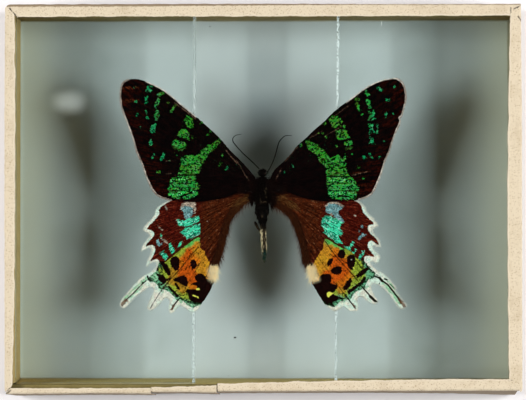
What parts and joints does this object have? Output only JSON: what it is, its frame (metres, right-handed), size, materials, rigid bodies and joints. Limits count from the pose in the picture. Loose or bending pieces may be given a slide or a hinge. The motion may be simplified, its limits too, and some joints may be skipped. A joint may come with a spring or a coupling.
{
  "type": "mounted moth in a shallow glazed case",
  "caption": "Shallow rectangular case with a glass front bound in paper tape, holding a spread moth whose wings lie on glass plates.",
  "frame": {"origin": "middle of the back board's outer face, on which the case lies", "axes": "+X along the case towards the moth's right wing, +Y towards the moth's head, +Z out of the front glass"},
  "size_m": [0.16, 0.12, 0.027],
  "materials": {
    "board": "matte",
    "card": "matte",
    "lining": "matte",
    "tape": "matte",
    "glass": "polished",
    "forewing": "satin",
    "hindwing": "satin",
    "body": "matte",
    "limb": "satin"
  },
  "bodies": {
    "root": {"back_board": "board", "lining_paper": "lining", "wall_head": "card", "wall_foot": "card", "wall_left": "card", "wall_right": "card", "bearer_head": "card", "bearer_foot": "card", "front_glass": "glass", "wing_plate_left": "glass", "wing_plate_right": "glass", "tape_head": "tape", "tape_left": "tape", "tape_right": "tape", "tape_foot_first": "tape", "tape_foot_middle": "tape", "tape_foot_last": "tape", "forewing_left": "forewing", "forewing_right": "forewing", "hindwing_left": "hindwing", "hindwing_right": "hindwing", "head": "body", "thorax": "body", "abdomen": "body", "antenna_left": "limb", "antenna_right": "limb", "hind_leg": "limb"}
  },
  "joints": []
}
